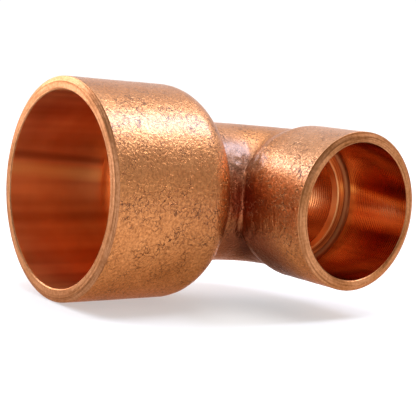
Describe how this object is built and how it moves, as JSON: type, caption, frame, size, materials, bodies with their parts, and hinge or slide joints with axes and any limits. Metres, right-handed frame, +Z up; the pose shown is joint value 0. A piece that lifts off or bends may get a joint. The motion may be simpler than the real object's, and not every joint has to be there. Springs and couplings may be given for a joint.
{
  "type": "copper reducing elbow",
  "caption": "Copper reducing elbow for solder or brazed joints: a large and a small tube socket at right angles, joined by a tight bend.",
  "frame": {"origin": "centre of the large socket's seat, the plane where the large tube comes to a stop", "axes": "-Y out of the large socket's mouth, +X out of the small socket's mouth, +Z up, square to both axes"},
  "size_m": [0.0313, 0.0387, 0.0254],
  "materials": {
    "large_socket_copper": "tumbled copper outside, drawn smooth bore, machined rim",
    "shoulder_copper": "tumbled copper, fine orange-peel grain",
    "bend_copper": "tumbled copper with press marks in the crotch",
    "stop_copper": "machined copper step",
    "small_socket_copper": "tumbled copper outside, machined bore and rim"
  },
  "bodies": {
    "root": {"large_socket": "large_socket_copper", "reducing_shoulder": "shoulder_copper", "elbow_bend": "bend_copper", "small_socket_stop": "stop_copper", "small_socket": "small_socket_copper"}
  },
  "joints": []
}
